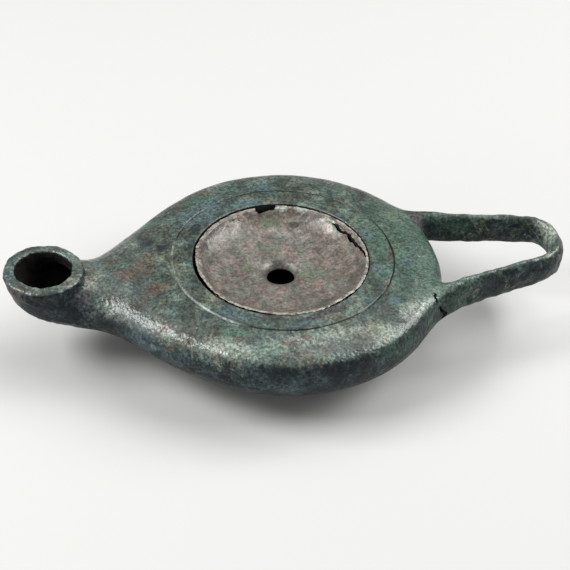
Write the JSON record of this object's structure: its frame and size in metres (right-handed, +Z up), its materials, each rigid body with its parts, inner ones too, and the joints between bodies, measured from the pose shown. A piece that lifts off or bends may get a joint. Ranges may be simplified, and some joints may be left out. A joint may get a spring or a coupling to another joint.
{
  "type": "bronze oil lamp",
  "caption": "Ancient cast bronze oil lamp: round hollow body, short upturned nozzle with a wick hole, dished disc with a filling hole, and a loop handle.",
  "frame": {"origin": "middle of the flat foot the lamp stands on, on the axis of the filling disc", "axes": "+Z up, +X from the nozzle to the handle, +Y to the lamp's left when seen from the handle"},
  "size_m": [0.1585, 0.0874, 0.0287],
  "materials": {
    "bronze_green_patina": "dark green patina, worn satin on the shoulder",
    "bronze_brown_patina": "brown-grey patina, satin"
  },
  "bodies": {
    "root": {"lamp_body": "bronze_green_patina", "discus_plate": "bronze_brown_patina"}
  },
  "joints": []
}
